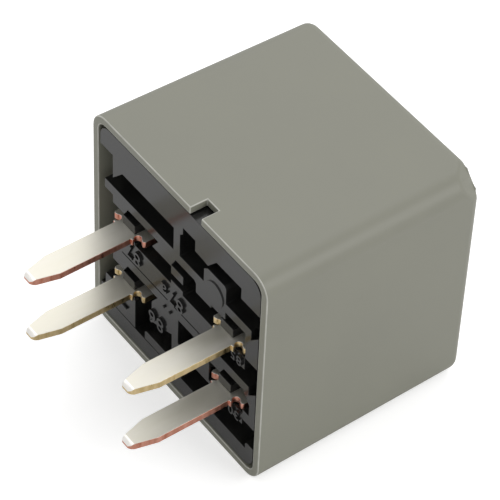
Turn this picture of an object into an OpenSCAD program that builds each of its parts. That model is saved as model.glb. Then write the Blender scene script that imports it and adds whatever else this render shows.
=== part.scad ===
// Plug-in automotive relay with four blades and one normally open contact.
// It lies on one side: +Z is up through the notched side of the cover, the blades
// point along -Y, and the origin is the middle of the side it lies on.

/* [Cover] */
// Width of the cover, across the two rows of blades
body_w = 28.5; // [28:0.5:33]
// Height of the cover as it lies
body_h = 28.5; // [28:0.5:33]
// Depth of the cover from its open rim to its closed end
body_d = 25.6; // [25.6:0.2:31.6]
// Wall thickness of the cover
wall = 0.9; // [0.8:0.05:1.2]
// How far the top and the two upright sides lean in over the depth
draft = 0.3; // [0:0.1:0.4]
// Corner radius at the open rim
rim_r = 2.1; // [1.6:0.1:2.5]
// Corner radius at the closed end
end_r = 2.2; // [1.8:0.1:2.6]
// Length of each edge cut off by the flat facet on one corner of the closed end
facet_cut = 3.4; // [2.4:0.1:4]
// Rounding between the closed end and the sides
end_fillet = 1; // [0.6:0.1:1.4]
// Width of the notch in the rim
notch_w = 1.8; // [1:0.1:3]
// Depth of the notch from the rim
notch_d = 2; // [1:0.1:2.4]
// Place of the notch along the width, from the middle
notch_x = 2.9; // [-5:0.1:5]

/* [Base] */
// Gap between the base and the inside of the cover
base_gap = 0.2; // [0.1:0.05:0.3]
// Corner radius of the base
base_r = 1.6; // [1:0.1:2.5]
// How far the base sits inside the rim
base_recess = 0.1; // [0.05:0.05:0.4]
// Depth of the moulded pockets
pocket_d = 2.4; // [2:0.1:2.6]
// Thickness of the floor behind the pockets
floor_t = 1.2; // [1:0.1:1.4]
// Thickness of the moulded ribs
rib_t = 1.2; // [0.8:0.05:1.3]
// Radius of the disc mark on the boss
disc_r = 1.45; // [1:0.05:1.6]
// Height of the disc mark
disc_h = 0.12; // [0.05:0.01:0.2]

/* [Blades] */
// Width of a blade
blade_w = 2.8; // [2.4:0.1:3.2]
// Thickness of a blade
blade_t = 0.8; // [0.6:0.05:0.9]
// Length of a blade outside the rim
blade_len = 11.7; // [8:0.1:14]
// Length of the tapered tip
tip_len = 3; // [2:0.1:4]
// Width at the very tip
tip_w = 1.4; // [1:0.1:2]
// Length of the bevel coined on the tip
tip_bevel = 0.6; // [0.4:0.1:1.2]
// Thickness left at the very tip
tip_t = 0.3; // [0.2:0.1:0.6]
// Distance between the two columns of blades
pitch_x = 16.8; // [16.4:0.1:17.2]
// Distance between the two rows of blades
pitch_z = 8; // [7.8:0.1:8.4]
// Height of the lower row's middle plane
row_z = 8.4; // [8.2:0.1:8.8]
// Width of the shoulders inside the base
shoulder_w = 5.3; // [4.8:0.1:5.6]
// Clearance of a blade in its slot
slot_gap = 0.05; // [0.02:0.01:0.1]

/* [Magnet] */
// Thickness of the yoke
yoke_t = 1.8; // [1.5:0.1:2]
// Width of the yoke and the armature
yoke_w = 10; // [9:0.1:10.2]
// Height of the posts that carry the yoke
post_h = 2.5; // [2.2:0.1:2.8]
// Radius of the core
core_r = 3; // [2.5:0.1:3.4]
// Radius of the pole head
pole_r = 4.8; // [4:0.1:5.4]
// Thickness of the pole head
pole_t = 1; // [0.8:0.1:1.2]
// Length of the winding between the flanges
winding_len = 8.6; // [8:0.1:8.8]
// Outer radius of the winding
winding_r = 6.2; // [5:0.1:6.5]
// Thickness of the bobbin's flanges
flange_t = 1; // [0.8:0.1:1.1]
// Size of the square flanges
flange_w = 13.6; // [13:0.1:13.8]
// Thickness of the bobbin's barrel
barrel_t = 0.7; // [0.5:0.1:0.9]
// Distance of the core from the armature's pivot
core_to_pivot = 8.5; // [8.3:0.1:8.8]
// Side of the square coil pins
pin_w = 0.8; // [0.6:0.1:0.9]
// Diameter of the winding wire's ends
lead_d = 0.3; // [0.2:0.05:0.4]

/* [Armature and contacts] */
// Thickness of the armature
armature_t = 1.6; // [1.4:0.1:1.7]
// Angle between the resting and the pulled-in armature
open_angle = 3; // [2:0.1:3.2]
// Gap left at the pole when pulled in
pole_gap = 0.08; // [0.05:0.01:0.2]
// Running clearance at the pivot
pivot_gap = 0.1; // [0.05:0.01:0.15]
// Thickness of the leaf spring
leaf_t = 0.3; // [0.2:0.05:0.35]
// Radius of the contact heads
contact_r = 1.6; // [1.2:0.1:1.7]
// Thickness of the contact heads
contact_h = 0.8; // [0.6:0.1:1]
// Height of the small rivet heads
rivet_h = 0.5; // [0.3:0.1:0.6]
// Radius of the rivets' shanks
rivet_r = 0.6; // [0.4:0.1:0.8]
// Clearance of staked and riveted shanks in their holes
stake_gap = 0.02; // [0.01:0.01:0.05]

/* [Hidden] */
$fn = 48;
eps = 0.01;

// Planes along Y
rim_y = -body_d / 2;
end_y = body_d / 2;
face_y = rim_y + base_recess;
pocket_y = face_y + pocket_d;
floor_y = pocket_y + floor_t;
foot_y = floor_y + post_h;
flange_y = foot_y + yoke_t;
winding_y = flange_y + flange_t;
flange2_y = winding_y + winding_len;
pole_y = flange2_y + flange_t;
arm_y = pole_y + pole_t + pole_gap;
leaf_y = arm_y + armature_t;

// Base and cover across the opening
base_x = body_w / 2 - wall - base_gap;
base_lo = wall + base_gap;
base_hi = body_h - wall - base_gap;

// Blade grid, and the levels of the base's ribs and bands
col_x = pitch_x / 2;
up_z = row_z + pitch_z;
rib_rise = 2.85;
rib_up = up_z + rib_rise + rib_t;
rib_low = row_z + rib_rise + rib_t;
band_z = rib_up + 2.95;
band_step = 1.25;
foot_z = 3.25;
post_w = 2;
post_x = col_x - 0.2;
post_in = 1.6;
tab_h = 1.6;
boss_rise = 2.25;
shoulder_rise = 1.8;
slot_out = 1;
rib_lo_x = -0.7;
rib_hi_x = 0.35;
rib_end_x = base_x - 1.15;
step_x = -base_x + 2.15;
rib_far_x = -base_x + 0.75;
boss_lo_x = post_x - 3.9;
boss_hi_x = post_x - 0.3;
slot_x = shoulder_w / 2 + 0.15;

// Magnet and armature
strip_gap = 0.2;
mech_z = row_z + blade_t / 2 + strip_gap + yoke_w / 2;
side_room = blade_t + rivet_h + 0.1;
yoke_x = body_w / 2 - wall - draft - side_room;
foot_out = 4.2;
pivot_x = yoke_x - yoke_t / 2;
core_x = pivot_x - core_to_pivot;
pivot_y = arm_y - 0.35;
arm_end_x = core_x - pole_r - 3.1;
heel_cut = 0.8;
heel_x = yoke_x - 0.16;
leaf_w = 8;
leaf_drop = 7.7;
finger_w = 3.8;
rivet_head_r = 1.1;
rivet_z = 2.4;
leaf_down = 5.2;
leaf_rivet_y = pivot_y - leaf_down;
arm_rivet_x = pivot_x - 2.6;

// Contacts and the strips that carry them
riser_w = 3.7;
riser_x = -col_x - shoulder_w / 2;
contact_x = riser_x + riser_w / 2;
touch_gap = 0.03;
fixed_y = leaf_y - 2 * contact_h - touch_gap;
reach = pivot_x - contact_x;
back_y = leaf_y + leaf_t + rivet_h - pivot_y;
stop_y = pivot_y + (reach + rivet_head_r) * sin(open_angle) + back_y * cos(open_angle) + 0.05;
stop_z = row_z + 2.2;
stop_root = 0.8;
bend_r = 1.2;

// Coil pins
pin_in = 1.2;
pin86_x = core_x - flange_w / 2 + pin_in;
pin86_z = row_z;
pin85_x = core_x + flange_w / 2 - pin_in;
pin85_z = mech_z + yoke_w / 2 + 0.6 + pin_w / 2;
boss_t = 1.2;
wrap_r = pin_w * 0.72 + lead_d / 2;
wire_sides = 8;

// Terminal 30's flag on the yoke
flag_lo = 5;
flag_hi = 9;
flag_rivet_y = floor_y + (flag_lo + flag_hi) / 2;
flag_w = 4.3;
flag_root = 2;
flag_rivet_z = row_z + flag_w - blade_t / 2 - 1.2;

// Snap beads between base and cover
bead_r = 0.45;
bead_len = 4;
bead_up = 5;
bead_y = pocket_y + floor_t / 2;

// Radius left at the facet's two corners
facet_r = 0.8;

// ---- Helpers ----

// A profile drawn in X and Z, carried along Y from y0 to y1
module along_y(y0, y1) {
    translate([0, y1, 0]) rotate([90, 0, 0]) linear_extrude(y1 - y0) children();
}

// A profile drawn in Y and Z, carried along X from x0 to x1
module along_x(x0, x1) {
    translate([x0, 0, 0]) rotate([90, 0, 90]) linear_extrude(x1 - x0) children();
}

// A profile drawn in X and Y, carried along Z from z0 to z1
module along_z(z0, z1) {
    translate([0, 0, z0]) linear_extrude(z1 - z0) children();
}

// Rectangle between two corners
module rect(a0, a1, b0, b1) {
    translate([a0, b0]) square([a1 - a0, b1 - b0]);
}

// Rectangle between two corners with round corners
module round_rect(a0, a1, b0, b1, r) {
    rect(a0 + r, a1 - r, b0, b1);
    rect(a0, a1, b0 + r, b1 - r);
    for (a = [a0 + r, a1 - r], b = [b0 + r, b1 - r])
        translate([a, b]) circle(r);
}

// Rod along Y
module rod_y(x, z, y0, y1, r) {
    translate([x, y1, z]) rotate([90, 0, 0]) cylinder(r = r, h = y1 - y0);
}

// Rod along X
module rod_x(y, z, x0, x1, r) {
    translate([x0, y, z]) rotate([0, 90, 0]) cylinder(r = r, h = x1 - x0);
}

// Turns the armature's pieces from pulled in to rest, about the pivot
module at_rest() {
    translate([pivot_x, pivot_y, 0]) rotate([0, 0, -open_angle])
        translate([-pivot_x, -pivot_y, 0]) children();
}

// ---- Cover ----

// One slice of the cover's outside: lean is the share of the draft, inset the rounding,
// and cut the length taken off the top right corner
module cover_slice(y, r, lean, inset, cut = 0) {
    side = body_w / 2 - lean * draft - inset;
    top = body_h - lean * draft - inset;
    along_y(y, y + eps) {
        for (x = [-side + r, side - r])
            translate([x, inset + r]) circle(r);
        translate([-side + r, top - r]) circle(r);
        if (cut == 0)
            translate([side - r, top - r]) circle(r);
        else {
            translate([side - cut, top - facet_r]) circle(facet_r);
            translate([side - facet_r, top - cut]) circle(facet_r);
        }
    }
}

// Drafted box with rounded edges and one corner of its end cut flat, all of it inset by t
module cover_form(t, y0) {
    cut = facet_cut - (3 - sqrt(3)) * t;
    cut_at = 1 - cut / body_d;
    hull() {
        cover_slice(y0, rim_r - t, 0, t);
        cover_slice(end_y - t - cut, rim_r + (end_r - rim_r) * cut_at - t, cut_at, t);
        for (a = [0:15:90])
            cover_slice(end_y - t - eps - end_fillet * (1 - sin(a)), end_r - t, 1,
                        t + end_fillet * (1 - cos(a)), cut);
    }
}

module cover() {
    color([0.55, 0.55, 0.51])
    difference() {
        cover_form(0, rim_y);
        cover_form(wall, rim_y - 1);
        along_y(rim_y - 1, rim_y + notch_d)
            rect(notch_x - notch_w / 2, notch_x + notch_w / 2, body_h - 2 * wall, body_h + 1);
        snap_beads(base_gap / 2);
    }
}

// Four beads on the base's upright sides; grow is the clearance of their recesses
module snap_beads(grow) {
    for (side = [-1, 1], z = [base_lo + bead_up, base_hi - bead_up - bead_len])
        translate([side * base_x, bead_y, z - grow])
            cylinder(r = bead_r + grow, h = bead_len + 2 * grow);
}

// ---- Base ----

// Deep pockets around the blades, as openings in the base's face
module pockets_2d() {
    side_x = base_x + 1;
    band_top = band_z + band_step;
    gap_x = -base_x + 0.8;
    gap_out = 5;
    // Long pocket under the top band, its left end cut on the slant
    polygon([[-post_x - 3.85, rib_up], [rib_lo_x, rib_up], [rib_lo_x, band_z],
             [-post_x - 1.15, band_z]]);
    // Stepped pocket from the middle rib round the boss to the open side
    polygon([[rib_hi_x, rib_up], [rib_end_x, rib_up], [rib_end_x, rib_up - rib_t - 0.1],
             [side_x, rib_up + 0.9], [side_x, band_z - 0.1], [post_x + 2, band_z - 0.1],
             [post_x + 2, band_top], [post_x - 1.95, band_top], [boss_lo_x + 0.6, band_z - 0.35],
             [boss_lo_x, band_z - 0.25], [rib_hi_x + 2.45, band_z - 0.15],
             [rib_hi_x + 2.45, band_top], [rib_hi_x + 0.45, band_top],
             [rib_hi_x + 0.45, band_z + 0.35], [rib_hi_x, band_z - 0.05]]);
    // Open strip down the left side, crossed by the end of the upper rib
    difference() {
        rect(-side_x, step_x, row_z - 1.4, band_top);
        rect(rib_far_x, step_x + 1, rib_up - rib_t, rib_up);
    }
    // Openings above the posts of the two left blades and of the lower right one
    for (p = [[-post_x, up_z], [-post_x, row_z], [post_x, row_z]])
        translate(p)
            polygon([[-post_w / 2, 0], [4, 0], [4, slot_out + 0.5],
                     [min(gap_out, rib_end_x - p[0] - 0.9), rib_rise],
                     [-0.2, rib_rise], [-post_w / 2, slot_out + 0.5]]);
    // Opening above the middle post, and the one between the boss and the right side
    polygon([[-post_w / 2, up_z], [post_w + 1.1, up_z], [post_w + 1.1, up_z + rib_rise - 0.3],
             [post_w + 0.8, up_z + rib_rise], [-0.3, up_z + rib_rise],
             [-post_w / 2, up_z + post_in]]);
    polygon([[post_x - post_w / 2, up_z], [rib_end_x - 0.9, up_z],
             [rib_end_x - 0.9, up_z + rib_rise], [boss_hi_x, up_z + rib_rise],
             [boss_hi_x, up_z + post_in + 0.3], [post_x - post_w / 2, up_z + post_in]]);
    // Slot that joins the upper row, higher over each blade's shoulders
    rect(-col_x - slot_x, col_x + slot_x, up_z - slot_out, up_z + 1.4);
    for (x = [-col_x, col_x], z = [row_z, up_z])
        rect(x - slot_x, x + slot_x, z - slot_out, z + shoulder_rise);
    // Pocket between the middle rib and the lower right blade
    rect(rib_hi_x, 4, row_z - 0.5, row_z + rib_rise);
    // Narrow gap round the corner of the lower left plate
    polygon([[-side_x, foot_z + 1.8], [gap_x, foot_z + 1.8], [gap_x, row_z - 1.5],
             [-col_x - slot_x, row_z - 0.5], [-col_x - slot_x, row_z + 0.4],
             [-side_x, row_z - 1.4]]);
    // Deep slot between the lower plates, and the pocket under the coil blade's plate
    rect(-post_x + 1.15, -post_x + 2.85, foot_z, row_z);
    polygon([[-post_x + 2.8, foot_z + 1.1], [-post_x + 3.2, foot_z + 1.4],
             [rib_lo_x, foot_z + 1.4], [rib_lo_x, row_z - 0.2], [-post_x + 3.7, row_z - 1.6],
             [-post_x + 3.7, row_z], [-post_x + 2.8, row_z]]);
    // Pocket under the lower right blade, out to the side above the corner block
    polygon([[rib_hi_x + 0.7, foot_z], [base_x - 1.3, foot_z], [base_x - 1.3, foot_z + 0.7],
             [base_x - 1, foot_z + 0.95], [side_x, foot_z + 0.95], [side_x, row_z - 1.4],
             [col_x + slot_x, row_z - 1.4], [col_x + slot_x, row_z],
             [col_x - 1.4, row_z], [col_x - 1.4, row_z - 1.5], [rib_hi_x + 0.7, row_z - 1.5]]);
    // Pocket under the upper right blade, out to the side
    polygon([[col_x - 1.2, rib_low], [rib_end_x, rib_low], [rib_end_x, row_z + rib_rise],
             [side_x, rib_low + 0.7], [side_x, up_z - 0.5],
             [col_x + slot_x, up_z - 0.5], [col_x + slot_x, up_z],
             [col_x - 1.2, up_z]]);
}

// Posts that stand in the slots, over and under each blade
module posts_2d() {
    for (x = [-post_x, 0, post_x]) {
        rect(x - post_w / 2, x + post_w / 2, up_z + blade_t / 2 + slot_gap, up_z + post_in);
        rect(x - post_w / 2, x + post_w / 2, up_z - slot_out - 0.5,
             up_z - blade_t / 2 - slot_gap);
    }
    for (x = [-post_x, post_x])
        rect(x - post_w / 2, x + post_w / 2, row_z + blade_t / 2 + slot_gap, row_z + post_in);
    rect(-post_x - post_w / 2, -post_x + post_w / 2, row_z - slot_out - 0.5,
         row_z - blade_t / 2 - slot_gap);
}

// Boss between two pockets, and the tabs that carry the right blades' numerals
module tabs_2d() {
    top = rib_up + boss_rise;
    polygon([[boss_lo_x, rib_up - 0.5], [boss_hi_x, rib_up - 0.5], [boss_hi_x, top - 0.3],
             [boss_hi_x - 0.3, top], [boss_lo_x + 0.6, top], [boss_lo_x, top - 0.5]]);
    for (z = [row_z, up_z])
        rect(col_x + 0.8, col_x + slot_x, z - tab_h - 0.6, z - 0.6);
}

// Slot in the floor for a strip of width w whose left edge is at x
module floor_slot(x, w, z) {
    along_y(pocket_y - 1, floor_y + 1)
        rect(x - slot_gap, x + w + slot_gap, z - blade_t / 2 - slot_gap,
             z + blade_t / 2 + slot_gap);
}

module base() {
    rib_out = yoke_w / 2 - 0.5;
    color([0.09, 0.09, 0.09]) {
        difference() {
            union() {
                along_y(face_y, floor_y)
                    round_rect(-base_x, base_x, base_lo, base_hi, base_r);
                snap_beads(0);
            }
            along_y(face_y - 1, pocket_y)
                difference() {
                    pockets_2d();
                    posts_2d();
                    tabs_2d();
                }
            // Fine grooves under the numerals and over the bottom band
            along_y(face_y - 1, face_y + 0.4) {
                rect(-col_x - 1, col_x, rib_low, rib_low + 0.14);
                rect(step_x, rib_lo_x, foot_z, foot_z + 0.12);
            }
            for (x = [-col_x, col_x], z = [row_z, up_z])
                floor_slot(x - shoulder_w / 2, shoulder_w, z);
            along_y(floor_y - stop_root - slot_gap, floor_y + 1)
                rect(riser_x - slot_gap, riser_x + riser_w + slot_gap,
                     stop_z - slot_gap, stop_z + blade_t + slot_gap);
        }
        // Disc mark on the boss
        rod_y((boss_lo_x + boss_hi_x) / 2, rib_up - 0.2, face_y - disc_h, face_y, disc_r);
        // Cross ribs inside, which carry the yoke's foot
        along_y(floor_y, foot_y) {
            rect(core_x - foot_out + 0.4, core_x - foot_out + 1.6, mech_z - rib_out,
                 mech_z + rib_out);
            rect(core_x + core_r - 0.6, core_x + core_r + 0.4, mech_z - rib_out, mech_z + 1.5);
            rect(col_x + slot_x, yoke_x, mech_z - rib_out, mech_z + rib_out);
        }
    }
}

// ---- Blades ----

// Flat blank of a blade about its own middle line: tapered tip, relief notches, shoulders
module blank_2d() {
    tip_y = rim_y - blade_len;
    tip_side = tip_w / 2;
    tip_cut = 0.25;
    half = blade_w / 2;
    side = shoulder_w / 2;
    step_w = 0.25;
    step_y = face_y - 0.6;
    relief_r = 0.38;
    shoulder_y = face_y + 0.1;
    slope = 0.3;
    corner = 0.2;
    difference() {
        union() {
            polygon([[-half, floor_y], [-half, tip_y + tip_len], [-tip_side, tip_y + tip_cut],
                     [-tip_side + tip_cut, tip_y], [tip_side - tip_cut, tip_y],
                     [tip_side, tip_y + tip_cut], [half, tip_y + tip_len], [half, floor_y]]);
            rect(-half - step_w, half + step_w, step_y, floor_y);
            polygon([[-half, shoulder_y + slope], [-side + corner, shoulder_y],
                     [-side, shoulder_y + corner], [-side, floor_y], [side, floor_y],
                     [side, shoulder_y + corner], [side - corner, shoulder_y],
                     [half, shoulder_y + slope]]);
        }
        for (side_x = [-half - step_w - 0.1, half + step_w + 0.1])
            translate([side_x, shoulder_y - 0.1]) circle(relief_r);
    }
}

// A blade at column x and row z, from its tip to the inside of the floor
module blade(x, z) {
    tip_y = rim_y - blade_len;
    half = blade_t / 2;
    intersection() {
        translate([x, 0, 0]) along_z(z - half, z + half) blank_2d();
        along_x(x - shoulder_w, x + shoulder_w)
            polygon([[tip_y, z - tip_t / 2], [tip_y + tip_bevel, z - half], [floor_y, z - half],
                     [floor_y, z + half], [tip_y + tip_bevel, z + half], [tip_y, z + tip_t / 2]]);
    }
}

// Strip that rises from the floor at height z and bends over to z_end, its tab's top at y1
module gooseneck_2d(z, y1, z_end) {
    half = blade_t / 2;
    dir = z_end > z ? 1 : -1;
    back = z - dir * half;
    centre = back + dir * bend_r;
    rect(floor_y - eps, y1 - bend_r, min(back, back + dir * blade_t), max(back, back + dir * blade_t));
    rect(y1 - blade_t, y1, min(centre, z_end), max(centre, z_end));
    intersection() {
        difference() {
            translate([y1 - bend_r, centre]) circle(bend_r);
            translate([y1 - bend_r, centre]) circle(bend_r - blade_t);
        }
        rect(y1 - bend_r, y1, min(back, centre), max(back, centre));
    }
}

module terminal_87() {
    color([0.78, 0.76, 0.70])
    difference() {
        union() {
            blade(-col_x, up_z);
            along_x(riser_x, riser_x + riser_w)
                gooseneck_2d(up_z, fixed_y, mech_z - contact_r - 0.5);
        }
        rod_y(contact_x, mech_z, fixed_y - 2, fixed_y + 1, rivet_r + stake_gap);
    }
}

module terminal_30() {
    riser_lo = core_x + flange_w / 2 + 0.3;
    color([0.78, 0.76, 0.70])
    difference() {
        union() {
            blade(col_x, row_z);
            along_z(row_z - blade_t / 2, row_z + blade_t / 2) {
                rect(col_x - shoulder_w / 2, yoke_x + blade_t, floor_y, floor_y + flag_root);
                rect(riser_lo, yoke_x + blade_t, floor_y, floor_y + flag_hi);
            }
            along_z(row_z - blade_t / 2, row_z - blade_t / 2 + flag_w)
                rect(yoke_x, yoke_x + blade_t, floor_y + flag_lo, floor_y + flag_hi);
        }
        rod_x(flag_rivet_y, flag_rivet_z, yoke_x - 1, yoke_x + 2, rivet_r + stake_gap);
    }
}

module terminal_86() {
    color([0.78, 0.76, 0.70]) {
        blade(-col_x, row_z);
        along_z(row_z - blade_t / 2, row_z + blade_t / 2)
            rect(-col_x - shoulder_w / 2, pin86_x + pin_w, floor_y, floor_y + blade_t);
    }
}

module terminal_85() {
    tab_w = 2.2;
    color([0.78, 0.76, 0.70]) {
        blade(col_x, up_z);
        along_y(floor_y, floor_y + blade_t)
            rect(col_x - tab_w / 2, col_x + tab_w / 2, up_z - blade_t / 2, pin85_z + pin_w);
    }
}

// ---- Coil ----

// Square profile of a coil pin, with clearance grow
module pin_2d(x, z, grow = 0) {
    rect(x - pin_w / 2 - grow, x + pin_w / 2 + grow, z - pin_w / 2 - grow, z + pin_w / 2 + grow);
}

// Profile of the bobbin's flange with its wire slots
module flange_2d() {
    difference() {
        round_rect(core_x - flange_w / 2, core_x + flange_w / 2,
                   mech_z - flange_w / 2, mech_z + flange_w / 2, 1);
        translate([core_x, mech_z]) circle(core_r + 0.1);
    }
}

module bobbin() {
    color([0.16, 0.16, 0.15])
    difference() {
        union() {
            along_y(flange_y, winding_y) flange_2d();
            along_y(flange2_y, pole_y) flange_2d();
            rod_y(core_x, mech_z, flange_y, pole_y, core_r + 0.1 + barrel_t);
            along_y(flange_y - boss_t, flange_y) {
                rect(pin86_x - 1, pin86_x + 1, mech_z - flange_w / 2,
                     mech_z - yoke_w / 2 - 0.1);
                rect(pin85_x - 1, pin85_x + 1, mech_z + yoke_w / 2 + 0.1,
                     mech_z + flange_w / 2);
            }
        }
        rod_y(core_x, mech_z, flange_y - 1, pole_y + 1, core_r + 0.1);
        along_y(flange_y - boss_t - 1, winding_y + 1) {
            pin_2d(pin86_x, pin86_z);
            pin_2d(pin85_x, pin85_z);
        }
        lead_path(pin86_x, pin86_z, 1, 0.1);
        lead_path(pin85_x, pin85_z, -1, 0.1);
    }
}

module coil_winding() {
    color([0.60, 0.26, 0.12])
    difference() {
        rod_y(core_x, mech_z, winding_y, flange2_y, winding_r);
        rod_y(core_x, mech_z, winding_y - 1, flange2_y + 1, core_r + 0.1 + barrel_t);
    }
}

module coil_pin_86() {
    color([0.75, 0.70, 0.55])
    along_y(floor_y + blade_t, winding_y) pin_2d(pin86_x, pin86_z);
}

module coil_pin_85() {
    color([0.75, 0.70, 0.55])
    along_y(floor_y + blade_t, winding_y) pin_2d(pin85_x, pin85_z);
}

// Wire from the wraps on a pin, up beside it and in to the winding; grow is clearance
module lead_path(x, z, side, grow) {
    r = lead_d / 2 + grow;
    lead_x = x + side * (wrap_r + 0.1);
    start_y = floor_y + blade_t + 0.8;
    turn_y = winding_y + 0.5;
    run_x = core_x - lead_x;
    run_z = mech_z - z;
    run = norm([run_x, run_z]) - winding_r - 0.02;
    translate([lead_x, start_y, z]) rotate([-90, 0, 0])
        cylinder(r = r, h = turn_y - start_y + r, $fn = wire_sides);
    translate([lead_x, turn_y, z]) rotate([0, atan2(run_x, run_z), 0])
        cylinder(r = r, h = run, $fn = wire_sides);
}

// One end of the winding wire: wraps on its pin and the run to the winding
module coil_lead(x, z, side) {
    wraps = 3;
    lead_path(x, z, side, 0);
    translate([x, floor_y + blade_t + 0.5, z]) rotate([-90, 0, 0])
        rotate_extrude()
            for (i = [0:wraps - 1])
                translate([wrap_r, i * lead_d * 0.8]) circle(lead_d / 2, $fn = wire_sides);
}

module coil_lead_86() {
    color([0.70, 0.32, 0.14]) coil_lead(pin86_x, pin86_z, 1);
}

module coil_lead_85() {
    color([0.70, 0.32, 0.14]) coil_lead(pin85_x, pin85_z, -1);
}

// ---- Magnet ----

module core() {
    color([0.60, 0.60, 0.58]) {
        rod_y(core_x, mech_z, foot_y, flange_y + eps, core_r * 0.72);
        rod_y(core_x, mech_z, flange_y, pole_y + eps, core_r);
        rod_y(core_x, mech_z, pole_y, pole_y + pole_t, pole_r);
    }
}

module yoke() {
    color([0.62, 0.62, 0.60])
    difference() {
        union() {
            along_z(mech_z - yoke_w / 2, mech_z + yoke_w / 2) {
                difference() {
                    rect(core_x - foot_out, yoke_x, foot_y, flange_y);
                    rect(yoke_x - bend_r, yoke_x + 1, foot_y - 1, foot_y + bend_r);
                }
                translate([yoke_x - bend_r, foot_y + bend_r]) circle(bend_r);
                rect(yoke_x - yoke_t, yoke_x, foot_y + bend_r, pivot_y);
                translate([pivot_x, pivot_y]) circle(yoke_t / 2);
            }
        }
        rod_y(core_x, mech_z, foot_y - 1, flange_y + 1, core_r * 0.72 + stake_gap);
        for (side = [-1, 1])
            rod_x(leaf_rivet_y, mech_z + side * rivet_z, yoke_x - yoke_t - 1, yoke_x + 1,
                  rivet_r + stake_gap);
        rod_x(flag_rivet_y, flag_rivet_z, yoke_x - yoke_t - 1, yoke_x + 1, rivet_r + stake_gap);
    }
}

module armature() {
    nose = 2;
    color([0.66, 0.66, 0.64])
    at_rest()
    difference() {
        along_z(mech_z - yoke_w / 2, mech_z + yoke_w / 2)
            polygon([[arm_end_x, arm_y], [heel_x, arm_y], [heel_x, leaf_y - heel_cut],
                     [heel_x - heel_cut, leaf_y], [arm_end_x, leaf_y]]);
        // Round groove that sits over the yoke's end
        along_z(0, body_h) translate([pivot_x, pivot_y]) circle(yoke_t / 2 + pivot_gap);
        // Cut corners at the free end
        along_y(arm_y - 1, leaf_y + 1)
            for (side = [-1, 1])
                polygon([[arm_end_x - 1, mech_z + side * (yoke_w / 2 - nose - 1)],
                         [arm_end_x + nose + 1, mech_z + side * (yoke_w / 2 + 1)],
                         [arm_end_x - 1, mech_z + side * (yoke_w / 2 + 1)]]);
        for (side = [-1, 1])
            rod_y(arm_rivet_x, mech_z + side * rivet_z, arm_y - 1, leaf_y + 1,
                  rivet_r + stake_gap);
    }
}

// Point at angle a on a circle of radius r
function on_circle(r, a) = [r * cos(a), r * sin(a)];

// Side view of the leaf spring at rest: tilted leaf, bend over the heel, leg on the yoke
module leaf_side_2d() {
    turn_r = 1;
    steps = 12;
    out_r = turn_r + leaf_t / 2;
    in_r = turn_r - leaf_t / 2;
    sweep = 90 - open_angle;
    off_x = yoke_x + leaf_t / 2 - turn_r - pivot_x;
    off_y = (leaf_y + leaf_t / 2 - pivot_y - turn_r - off_x * sin(open_angle)) / cos(open_angle);
    // Length of the tilted leaf, from the bend to its free end
    run = off_x * cos(open_angle) - off_y * sin(open_angle) + reach + finger_w / 2;
    tip = run * [-cos(open_angle), sin(open_angle)];
    translate([pivot_x + off_x, pivot_y + off_y])
        polygon(concat([[out_r, -leaf_drop]],
                       [for (i = [0:steps]) on_circle(out_r, sweep * i / steps)],
                       [tip + on_circle(out_r, sweep), tip + on_circle(in_r, sweep)],
                       [for (i = [steps:-1:0]) on_circle(in_r, sweep * i / steps)],
                       [[in_r, -leaf_drop]]));
}

module contact_spring() {
    finger_x = arm_end_x - 0.6;
    color([0.76, 0.58, 0.34])
    difference() {
        along_z(mech_z - leaf_w / 2, mech_z + leaf_w / 2) leaf_side_2d();
        at_rest() {
            // Sides cut away to leave the finger that carries the contact
            for (side = [-1, 1])
                translate([finger_x - reach, leaf_y - 1,
                           mech_z + side * (finger_w + leaf_w) / 2 - leaf_w / 2])
                    cube([reach, 2, leaf_w]);
            rod_y(contact_x, mech_z, leaf_y - 1, leaf_y + 1, rivet_r + stake_gap);
            for (side = [-1, 1])
                rod_y(arm_rivet_x, mech_z + side * rivet_z, leaf_y - 1, leaf_y + 1,
                      rivet_r + stake_gap);
        }
        for (side = [-1, 1])
            rod_x(leaf_rivet_y, mech_z + side * rivet_z, yoke_x - 1, yoke_x + 1,
                  rivet_r + stake_gap);
    }
}

// ---- Contacts, stop and rivets ----

module moving_contact() {
    color([0.80, 0.80, 0.78])
    at_rest() {
        rod_y(contact_x, mech_z, leaf_y - contact_h, leaf_y, contact_r);
        rod_y(contact_x, mech_z, leaf_y - eps, leaf_y + leaf_t + eps, rivet_r);
        rod_y(contact_x, mech_z, leaf_y + leaf_t, leaf_y + leaf_t + rivet_h, rivet_head_r);
    }
}

module fixed_contact() {
    color([0.80, 0.80, 0.78]) {
        rod_y(contact_x, mech_z, fixed_y, fixed_y + contact_h, contact_r);
        rod_y(contact_x, mech_z, fixed_y - blade_t - eps, fixed_y + eps, rivet_r);
        rod_y(contact_x, mech_z, fixed_y - blade_t - rivet_h, fixed_y - blade_t, rivet_head_r);
    }
}

module rest_stop() {
    color([0.76, 0.64, 0.36]) {
        along_x(riser_x, riser_x + riser_w) {
            gooseneck_2d(stop_z + blade_t / 2, stop_y + blade_t, mech_z + finger_w / 2 - 0.4);
            rect(floor_y - stop_root, floor_y, stop_z, stop_z + blade_t);
        }
    }
}

module armature_rivets() {
    color([0.70, 0.70, 0.68])
    at_rest()
        for (side = [-1, 1]) {
            rod_y(arm_rivet_x, mech_z + side * rivet_z, arm_y, leaf_y + leaf_t + eps, rivet_r);
            rod_y(arm_rivet_x, mech_z + side * rivet_z, leaf_y + leaf_t,
                  leaf_y + leaf_t + rivet_h, rivet_head_r);
        }
}

module yoke_rivets() {
    color([0.70, 0.70, 0.68])
    for (side = [-1, 1]) {
        rod_x(leaf_rivet_y, mech_z + side * rivet_z, yoke_x - yoke_t, yoke_x + leaf_t + eps,
              rivet_r);
        rod_x(leaf_rivet_y, mech_z + side * rivet_z, yoke_x + leaf_t,
              yoke_x + leaf_t + rivet_h, rivet_head_r);
    }
}

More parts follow.
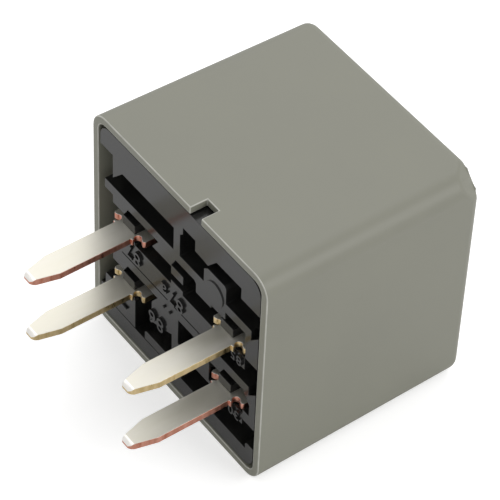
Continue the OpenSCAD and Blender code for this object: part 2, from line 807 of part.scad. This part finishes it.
module terminal_rivet() {
    color([0.70, 0.70, 0.68]) {
        rod_x(flag_rivet_y, flag_rivet_z, yoke_x - yoke_t, yoke_x + blade_t + eps, rivet_r);
        rod_x(flag_rivet_y, flag_rivet_z, yoke_x + blade_t, yoke_x + blade_t + rivet_h,
              rivet_head_r);
    }
}

cover();
base();
terminal_87();
terminal_30();
terminal_86();
terminal_85();
bobbin();
coil_winding();
core();
yoke();
armature();
contact_spring();
moving_contact();
fixed_contact();
rest_stop();
armature_rivets();
yoke_rivets();
terminal_rivet();
coil_pin_86();
coil_pin_85();
coil_lead_86();
coil_lead_85();
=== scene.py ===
import math
import bmesh
import bpy
from mathutils import Matrix, Vector


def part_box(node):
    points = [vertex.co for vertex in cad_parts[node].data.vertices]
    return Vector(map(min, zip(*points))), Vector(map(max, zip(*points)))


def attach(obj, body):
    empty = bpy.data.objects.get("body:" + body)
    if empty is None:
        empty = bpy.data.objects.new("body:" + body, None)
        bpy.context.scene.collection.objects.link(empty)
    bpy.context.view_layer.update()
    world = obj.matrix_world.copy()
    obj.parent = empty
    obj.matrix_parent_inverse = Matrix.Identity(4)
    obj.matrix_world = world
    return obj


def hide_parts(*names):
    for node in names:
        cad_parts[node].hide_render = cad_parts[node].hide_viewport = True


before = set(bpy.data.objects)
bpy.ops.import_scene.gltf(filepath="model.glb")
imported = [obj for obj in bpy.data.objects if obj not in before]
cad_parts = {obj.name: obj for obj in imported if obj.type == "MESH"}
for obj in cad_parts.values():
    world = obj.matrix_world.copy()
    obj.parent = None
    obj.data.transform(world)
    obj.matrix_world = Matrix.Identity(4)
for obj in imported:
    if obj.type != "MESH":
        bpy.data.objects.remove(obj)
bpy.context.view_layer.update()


# ---- Base ----
# The base is one black glass-filled moulding that closes the cover. Its face has deep
# pockets round the blades, thin ribs between them and a square boss, and every edge keeps
# the small radius that the mould leaves.

mm = 0.001
housing = "housing"
mould_radius = 0.07 * mm
base_black = (0.008, 0.008, 0.008)
base_grey = (0.014, 0.014, 0.013)


def edges_eased(node, radius):
    """A merged copy of a CAD node's mesh, with its sharp edges rounded."""
    merge = 0.001 * mm
    coplanar = math.radians(0.5)
    crease = math.radians(32)
    bm = bmesh.new()
    bm.from_mesh(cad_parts[node].data)
    bmesh.ops.remove_doubles(bm, verts=bm.verts, dist=merge)
    bmesh.ops.dissolve_limit(bm, angle_limit=coplanar, verts=bm.verts, edges=bm.edges)
    sharp = [e for e in bm.edges if e.is_manifold and e.calc_face_angle() > crease]
    bmesh.ops.bevel(bm, geom=sharp, offset=radius, offset_type="OFFSET", segments=2,
                    profile=0.5, affect="EDGES", clamp_overlap=True, material=-1)
    return bm


def housing_piece(bm, name, finishes):
    """Turns a bmesh into a smoothly shaded piece of the housing, in its finishes."""
    mesh = bpy.data.meshes.new(name)
    bm.to_mesh(mesh)
    bm.free()
    for finish in finishes:
        mesh.materials.append(finish)
    mesh.polygons.foreach_set("use_smooth", [True] * len(mesh.polygons))
    mesh.set_sharp_from_angle(angle=math.radians(35))
    piece = bpy.data.objects.new(name, mesh)
    bpy.context.scene.collection.objects.link(piece)
    even = piece.modifiers.new("even shading", "WEIGHTED_NORMAL")
    even.keep_sharp = True
    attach(piece, housing)
    return piece


def mottled(name, light, dark, patch, rough, metal=0.0, grain=0.1, grain_depth=0.004,
            stretch=(1, 1, 1)):
    """A finish whose colour wanders between two shades and whose fine grain is a bump.
    patch, grain and grain_depth are in millimetres; rough is the lowest and highest
    roughness, and the pattern is drawn out along an axis where stretch is below 1."""
    material = bpy.data.materials.new(name)
    material.use_nodes = True
    tree = material.node_tree
    shader = tree.nodes["Principled BSDF"]
    place = tree.nodes.new("ShaderNodeTexCoord")
    turn = tree.nodes.new("ShaderNodeMapping")
    turn.inputs["Scale"].default_value = stretch
    tree.links.new(place.outputs["Object"], turn.inputs["Vector"])

    cloud = tree.nodes.new("ShaderNodeTexNoise")
    cloud.inputs["Scale"].default_value = 1 / (patch * mm)
    cloud.inputs["Detail"].default_value = 4
    tree.links.new(turn.outputs["Vector"], cloud.inputs["Vector"])
    shades = tree.nodes.new("ShaderNodeValToRGB")
    shades.color_ramp.elements[0].position = 0.32
    shades.color_ramp.elements[0].color = (*dark, 1)
    shades.color_ramp.elements[1].position = 0.68
    shades.color_ramp.elements[1].color = (*light, 1)
    tree.links.new(cloud.outputs["Fac"], shades.inputs["Fac"])
    tree.links.new(shades.outputs["Color"], shader.inputs["Base Color"])

    gloss = tree.nodes.new("ShaderNodeMapRange")
    gloss.inputs["From Min"].default_value = 0.3
    gloss.inputs["From Max"].default_value = 0.7
    gloss.inputs["To Min"].default_value = rough[0]
    gloss.inputs["To Max"].default_value = rough[1]
    tree.links.new(cloud.outputs["Fac"], gloss.inputs["Value"])
    tree.links.new(gloss.outputs["Result"], shader.inputs["Roughness"])

    fine = tree.nodes.new("ShaderNodeTexNoise")
    fine.inputs["Scale"].default_value = 1 / (grain * mm)
    fine.inputs["Detail"].default_value = 2
    tree.links.new(turn.outputs["Vector"], fine.inputs["Vector"])
    bump = tree.nodes.new("ShaderNodeBump")
    bump.inputs["Strength"].default_value = 0.6
    bump.inputs["Distance"].default_value = grain_depth * mm
    tree.links.new(fine.outputs["Fac"], bump.inputs["Height"])
    tree.links.new(bump.outputs["Normal"], shader.inputs["Normal"])
    shader.inputs["Metallic"].default_value = metal
    return material


base_plastic = mottled("base plastic", base_grey, base_black, 3.0, (0.16, 0.26), grain=0.25,
                       grain_depth=0.003)
base = housing_piece(edges_eased("base", mould_radius), "base_moulding",
                     [base_plastic])
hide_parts("base")


# ---- Numerals ----
# The terminal numbers stand on the base's face, cut into the mould as fine raised strokes.
# They read with the notched side down, so here they are upside down. The two smaller ones
# stand beside the right blades.

face_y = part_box("base")[0].y
half_blade = 0.4 * mm
column_x = sum(corner.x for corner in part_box("terminal_85")) / 2
upper_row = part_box("terminal_85")[0].z + half_blade
lower_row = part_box("terminal_86")[0].z + half_blade
figure_rise = 0.12 * mm
tall_figure = 1.75 * mm
small_figure = 1.2 * mm
beside_x = column_x + 1.7 * mm
beside_drop = 1.3 * mm


def numeral(figures, x, z, height):
    """Raised figures centred on x and z, standing out of the base's face."""
    name = "numeral_" + figures
    capital_share = 0.7
    curve = bpy.data.curves.new(name, "FONT")
    curve.body = figures
    curve.size = height / capital_share
    curve.align_x = "CENTER"
    curve.align_y = "CENTER"
    curve.space_character = 1.12
    curve.extrude = figure_rise
    curve.offset = 0.02 * mm
    lettering = bpy.data.objects.new(name, curve)
    bpy.context.scene.collection.objects.link(lettering)
    bpy.context.view_layer.update()
    final = lettering.evaluated_get(bpy.context.evaluated_depsgraph_get())
    mesh = bpy.data.meshes.new_from_object(final)
    bpy.data.objects.remove(lettering)
    upright = Matrix.Rotation(math.radians(90), 4, "X")
    upside_down = Matrix.Rotation(math.radians(180), 4, "Y")
    mesh.transform(Matrix.Translation((x, face_y, z)) @ upside_down @ upright)
    mesh.materials.clear()
    mesh.materials.append(base_plastic)
    piece = bpy.data.objects.new(name, mesh)
    bpy.context.scene.collection.objects.link(piece)
    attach(piece, housing)


numeral("87", -7.2 * mm, upper_row - 2.3 * mm, tall_figure)
numeral("87a", -0.5 * mm, upper_row - 2.55 * mm, tall_figure)
numeral("86", -3.1 * mm, lower_row - 0.2 * mm, tall_figure)
numeral("85", beside_x, upper_row - beside_drop, small_figure)
numeral("30", beside_x, lower_row - beside_drop, small_figure)


# ---- Mould marks ----
# Two small dots and one short dash stand on the base's face beside the figures. They are
# marks of the mould, in the same black plastic.

dot_wide = 0.3 * mm
dot_z = 11.25 * mm


def mould_mark(name, x, z, wide, high):
    """A low raised mark with rounded corners on the base's face."""
    bm = bmesh.new()
    bmesh.ops.create_cube(bm, size=1)
    bmesh.ops.scale(bm, vec=(wide, 2 * figure_rise, high), verts=bm.verts)
    bmesh.ops.translate(bm, vec=(x, face_y, z), verts=bm.verts)
    bmesh.ops.bevel(bm, geom=bm.edges[:], offset=high * 0.3, offset_type="OFFSET", segments=3,
                    profile=0.5, affect="EDGES", clamp_overlap=True, material=-1)
    housing_piece(bm, name, [base_plastic])


mould_mark("mould_dot_1", -1.95 * mm, dot_z, dot_wide, dot_wide)
mould_mark("mould_dot_2", -0.95 * mm, dot_z, dot_wide, dot_wide)
mould_mark("mould_dash", -8.8 * mm, 5.1 * mm, 0.9 * mm, 0.25 * mm)


# ---- Blades ----
# Four terminals stamped from tin-plated strip. The faces keep the plating, and the sheared
# edges show the bare metal: copper on the two load terminals, brass on the two coil ones.
# The bevels at the blades' tips get a near-white tin, a painted highlight.

burr_radius = 0.06 * mm
tin = mottled("tin plate", (0.75, 0.725, 0.65), (0.69, 0.665, 0.57), 1.6, (0.34, 0.44),
              metal=0.74, grain=0.12, grain_depth=0.0005, stretch=(1, 0.25, 1))
# Near-white tin for the bevels at the blades' tips: a painted highlight.
painted_tip_highlight = mottled("coined tin", (0.96, 0.94, 0.90), (0.90, 0.88, 0.83), 0.4, (0.3, 0.4),
                 metal=0.74, grain=0.12, grain_depth=0.0005)
copper = mottled("sheared copper", (0.72, 0.36, 0.27), (0.50, 0.19, 0.12), 0.5, (0.24, 0.42),
                 metal=1.0, grain=0.08, grain_depth=0.004, stretch=(1, 1, 0.2))
brass = mottled("sheared brass", (0.74, 0.58, 0.33), (0.55, 0.41, 0.19), 0.5, (0.24, 0.42),
                metal=1.0, grain=0.08, grain_depth=0.004, stretch=(1, 1, 0.2))

for number, bare in [("87", copper), ("30", copper), ("86", brass), ("85", brass)]:
    node = "terminal_" + number
    bm = edges_eased(node, burr_radius)
    for face in bm.faces:
        plated = abs(face.normal.z) > 0.6
        # Plated faces turned towards the tip take the painted highlight.
        on_tip_bevel = plated and face.normal.y < -0.2
        face.material_index = 2 if on_tip_bevel else 0 if plated else 1
    blade = housing_piece(bm, "blade_" + number, [tin, bare, painted_tip_highlight])
    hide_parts(node)


# ---- Bobbin ----
# The bobbin is a black moulding with two square flanges, which keep the winding in place.
# The core runs through it and holds it to the yoke.

bobbin_plastic = mottled("bobbin plastic", (0.03, 0.03, 0.03), (0.016, 0.016, 0.016), 2.0,
                         (0.35, 0.5), grain=0.2)


def in_finish(finish, *names):
    """Gives CAD nodes their finish."""
    for name in names:
        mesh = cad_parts[name].data
        mesh.materials.clear()
        mesh.materials.append(finish)


in_finish(bobbin_plastic, "bobbin")


# ---- Winding and leads ----
# Enamelled copper wire, wound on the bobbin in close turns. Its two ends run out to the
# coil pins.

wire_wide = 0.18 * mm
wave_length = 0.31
winding_wire = mottled("wound wire", (0.62, 0.24, 0.09), (0.40, 0.12, 0.04), 1.0, (0.18, 0.32),
                       metal=1.0, grain=0.3)
tree = winding_wire.node_tree
turns = tree.nodes.new("ShaderNodeTexWave")
turns.bands_direction = "Y"
turns.inputs["Scale"].default_value = wave_length / wire_wide
turns.inputs["Distortion"].default_value = 0.3
place = next(n for n in tree.nodes if n.type == "TEX_COORD")
bump = next(n for n in tree.nodes if n.type == "BUMP")
bump.inputs["Distance"].default_value = wire_wide / 2
tree.links.new(place.outputs["Object"], turns.inputs["Vector"])
tree.links.new(turns.outputs["Fac"], bump.inputs["Height"])
lead_wire = mottled("lead wire", (0.66, 0.26, 0.10), (0.42, 0.13, 0.04), 0.8, (0.2, 0.35),
                    metal=1.0)
in_finish(winding_wire, "coil_winding")
in_finish(lead_wire, "coil_lead_86", "coil_lead_85")


# ---- Coil pins ----
# Two lengths of square tinned wire, pressed into the bobbin. They join the winding's ends
# to the two coil terminals.

pin_tin = mottled("pin tin", (0.70, 0.67, 0.58), (0.52, 0.49, 0.40), 0.8, (0.25, 0.4),
                  metal=1.0, stretch=(1, 0.2, 1))
in_finish(pin_tin, "coil_pin_86", "coil_pin_85")


# ---- Core, yoke and armature ----
# Soft iron with a thin zinc plating. The yoke and the armature are blanked and bent from
# strip, and the turned core is staked through the yoke.

plated_iron = mottled("plated iron", (0.60, 0.60, 0.56), (0.44, 0.44, 0.42), 1.4, (0.28, 0.46),
                      metal=1.0, grain=0.1, stretch=(1, 0.3, 1))
in_finish(plated_iron, "core", "yoke", "armature")


# ---- Leaf spring, stop and contacts ----
# The leaf and the stop are stamped and bent from bronze strip. The contacts are silver
# heads, riveted through the leaf's free end and through terminal 87.

bronze_strip = mottled("bronze strip", (0.70, 0.44, 0.20), (0.54, 0.31, 0.12), 1.2, (0.2, 0.34),
                       metal=1.0, grain=0.08, stretch=(0.3, 1, 1))
contact_silver = mottled("contact silver", (0.82, 0.81, 0.78), (0.66, 0.65, 0.62), 0.7,
                         (0.16, 0.34), metal=1.0, grain=0.12)
in_finish(bronze_strip, "contact_spring", "rest_stop")
in_finish(contact_silver, "moving_contact", "fixed_contact")


# ---- Rivets ----
# Small plated steel rivets hold the leaf to the armature and the yoke, and the load
# terminal to the yoke.

rivet_steel = mottled("rivet steel", (0.62, 0.62, 0.60), (0.46, 0.46, 0.45), 0.6, (0.25, 0.42),
                      metal=1.0, grain=0.1)
in_finish(rivet_steel, "armature_rivets", "yoke_rivets", "terminal_rivet")


# ---- Cover ----
# The cover is a satin grey box moulded in one piece, open at the blades' end and snapped
# over the base. Its rim has one notch, and one corner of its closed end is cut flat.

cover_lo, cover_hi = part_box("cover")
wall = 0.9 * mm
draft = 0.3 * mm
rim_round = 2.1 * mm
end_round = 0.95 * mm
facet_cut = 3.4 * mm
facet_round = 0.4 * mm
facet_ridge = 0.2 * mm
notch_wide = 1.8 * mm
notch_deep = 2.0 * mm
notch_x = 2.9 * mm
rim_highlight_band = 0.1 * mm
cover_light = (0.218, 0.218, 0.176)
cover_dark = (0.205, 0.205, 0.166)
cover_plastic = mottled("cover plastic", cover_light, cover_dark, 9.0, (0.42, 0.5),
                        grain=0.16, grain_depth=0.003)
# A lighter grey for the rounded edges of the rim and the notch: a painted highlight.
rim_highlight_plastic = mottled("rim edge painted highlight", (0.50, 0.50, 0.45), (0.36, 0.36, 0.32), 1.5,
                      (0.35, 0.45), grain=0.16)

# Drafted box, open at the rim
bm = bmesh.new()
bmesh.ops.create_cube(bm, size=1)
size = cover_hi - cover_lo
bmesh.ops.scale(bm, vec=size, verts=bm.verts)
bmesh.ops.translate(bm, vec=(cover_lo + cover_hi) / 2, verts=bm.verts)
for vert in bm.verts:
    if vert.co.y > 0:
        vert.co.x -= math.copysign(draft, vert.co.x)
        if vert.co.z > size.z / 2:
            vert.co.z -= draft
bm.normal_update()
rim_side = [f for f in bm.faces if f.normal.y < -0.9]
bmesh.ops.delete(bm, geom=rim_side, context="FACES_ONLY")

# Rounded long edges and a rounded closed end
long_edges = [e for e in bm.edges if abs(e.verts[0].co.y - e.verts[1].co.y) > size.y / 2]
bmesh.ops.bevel(bm, geom=long_edges, offset=rim_round, offset_type="OFFSET", segments=8,
                profile=0.5, affect="EDGES", clamp_overlap=False, material=-1)
bm.normal_update()
end_edges = [e for e in bm.edges if e.is_manifold and e.calc_face_angle() > math.radians(60)]
bmesh.ops.bevel(bm, geom=end_edges, offset=end_round, offset_type="OFFSET", segments=6,
                profile=0.5, affect="EDGES", clamp_overlap=False, material=-1)

# One corner cut off, with a low ridge left across the cut
corner = Vector((cover_hi.x - draft, cover_hi.y, cover_hi.z - draft))
cut = bmesh.ops.bisect_plane(bm, geom=bm.verts[:] + bm.edges[:] + bm.faces[:],
                             plane_co=corner - Vector((facet_cut, 0, 0)),
                             plane_no=(1, 1, 1), clear_outer=True)
loop = [g for g in cut["geom_cut"] if isinstance(g, bmesh.types.BMEdge)]
facet = bmesh.ops.edgeloop_fill(bm, edges=loop)["faces"][0]
back = max(facet.edges, key=lambda e: sum(v.co.y for v in e.verts) + e.calc_length())
crown = min(facet.verts, key=lambda v: v.co.y)
middle = bmesh.utils.edge_split(back, back.verts[0], 0.5)[1]
bmesh.utils.face_split(facet, crown, middle)
middle.co += Vector((1, 0, 1)).normalized() * facet_ridge
facet_edges = list({e for f in crown.link_faces if middle in f.verts for e in f.edges})
bmesh.ops.bevel(bm, geom=facet_edges, offset=facet_round, offset_type="OFFSET", segments=4,
                profile=0.5, affect="EDGES", clamp_overlap=True, material=-1)

# Notch in the rim of the top side
notch_y = cover_lo.y + notch_deep
bm.normal_update()


def over_notch(face):
    """Whether a face of the top side lies between the notch's two sides."""
    middle = face.calc_center_bounds()
    return abs(middle.x - notch_x) < notch_wide / 4 and middle.z > size.z * 0.9


for x in [notch_x + notch_wide / 2, notch_x - notch_wide / 2]:
    top = max((f for f in bm.faces if f.normal.z > 0.99), key=lambda f: f.calc_area())
    bmesh.ops.bisect_plane(bm, geom=[top] + top.edges[:] + top.verts[:],
                           plane_co=(x, 0, 0), plane_no=(1, 0, 0))
bm.normal_update()
strip = next(f for f in bm.faces if f.normal.z > 0.99 and over_notch(f))
bmesh.ops.bisect_plane(bm, geom=[strip] + strip.edges[:] + strip.verts[:],
                       plane_co=(0, notch_y, 0), plane_no=(0, 1, 0))
gap = [f for f in bm.faces if over_notch(f) and f.calc_center_bounds().y < notch_y]
bmesh.ops.delete(bm, geom=gap, context="FACES")
bmesh.ops.dissolve_limit(bm, angle_limit=math.radians(0.3), verts=bm.verts, edges=bm.edges)

# Walls, and the rounded edges of the rim and the notch, painted lighter as a highlight
bmesh.ops.recalc_face_normals(bm, faces=bm.faces)
bmesh.ops.solidify(bm, geom=bm.faces[:], thickness=wall)
bm.normal_update()
rim = [e for e in bm.edges if e.is_manifold and e.calc_face_angle() > math.radians(50)
       and max(v.co.y for v in e.verts) < notch_y + rim_highlight_band]
highlight_bevel = bmesh.ops.bevel(bm, geom=rim, offset=rim_highlight_band, offset_type="OFFSET", segments=2,
                       profile=0.5, affect="EDGES", clamp_overlap=True, material=-1)
# The rim's and the notch's rounded edges take the lighter grey of the painted highlight.
for face in highlight_bevel["faces"]:
    face.material_index = 1
cover = housing_piece(bm, "cover_shell", [cover_plastic, rim_highlight_plastic])
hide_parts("cover")


# ---- Floor ----
# A plain white sheet under the relay, brightened only where the camera sees it, so that it
# reads as white paper and keeps a faint shadow.

sheet_reach = 1.5
sheet_lift = 0.45

bm = bmesh.new()
bmesh.ops.create_grid(bm, x_segments=1, y_segments=1, size=sheet_reach)
sheet = bpy.data.meshes.new("floor")
bm.to_mesh(sheet)
bm.free()
floor = bpy.data.objects.new("floor", sheet)
bpy.context.scene.collection.objects.link(floor)
paper = bpy.data.materials.new("paper")
paper.use_nodes = True
tree = paper.node_tree
shader = tree.nodes["Principled BSDF"]
shader.inputs["Base Color"].default_value = (0.82, 0.82, 0.82, 1)
shader.inputs["Roughness"].default_value = 0.9
shader.inputs["Emission Color"].default_value = (1, 1, 1, 1)
path = tree.nodes.new("ShaderNodeLightPath")
lift = tree.nodes.new("ShaderNodeMath")
lift.operation = "MULTIPLY"
lift.inputs[1].default_value = sheet_lift
tree.links.new(path.outputs["Is Camera Ray"], lift.inputs[0])
tree.links.new(lift.outputs["Value"], shader.inputs["Emission Strength"])
sheet.materials.append(paper)


# ---- Light ----
# A white room with two soft lamps: a broad one over the closed end, and a smaller one low on
# the right that picks out the cover's long edge.

room_level = 0.78
seen_level = 1.0
relay_middle = (0, 0, 0.014)

world = bpy.data.worlds.new("room")
bpy.context.scene.world = world
world.use_nodes = True
tree = world.node_tree
room = tree.nodes["Background"]
room.inputs["Color"].default_value = (1, 1, 1, 1)
path = tree.nodes.new("ShaderNodeLightPath")
level = tree.nodes.new("ShaderNodeMapRange")
level.inputs["To Min"].default_value = room_level
level.inputs["To Max"].default_value = seen_level
tree.links.new(path.outputs["Is Camera Ray"], level.inputs["Value"])
tree.links.new(level.outputs["Result"], room.inputs["Strength"])


def softbox(name, place, width, power):
    """A square lamp turned towards the relay; place and width are in metres."""
    data = bpy.data.lights.new(name, "AREA")
    data.size = width
    data.energy = power
    lamp = bpy.data.objects.new(name, data)
    lamp.location = place
    look = Vector(relay_middle) - Vector(place)
    lamp.rotation_euler = look.to_track_quat("-Z", "Y").to_euler()
    bpy.context.scene.collection.objects.link(lamp)


softbox("back lamp", (-0.27, 0.21, 0.375), 0.50, 0.74)
softbox("right lamp", (0.36, 0.21, 0.28), 0.30, 0.71)


# ---- Camera ----
# A long lens from above, on the side of the blades and of the cover's right. The aim is
# the middle of the relay's box, and the offset shifts it in the camera's own axes.

azimuth = math.radians(52.0)
height = math.radians(46.458)
roll = math.radians(2.733)
aim = Vector((0, 0, 14.25)) * mm
offset = Vector((3.139, 0.572, -277.884)) * mm
tilt = math.pi / 2 - height
turn = (Matrix.Rotation(azimuth, 4, "Z") @ Matrix.Rotation(tilt, 4, "X")
        @ Matrix.Rotation(roll, 4, "Z"))
lens = bpy.data.cameras.new("camera")
lens.lens = 202.15
lens.sensor_width = 36
lens.clip_start = 0.01
camera = bpy.data.objects.new("camera", lens)
camera.matrix_world = Matrix.Translation(aim - turn @ offset) @ turn
bpy.context.scene.collection.objects.link(camera)
bpy.context.scene.camera = camera

bpy.context.scene.view_settings.view_transform = "Standard"
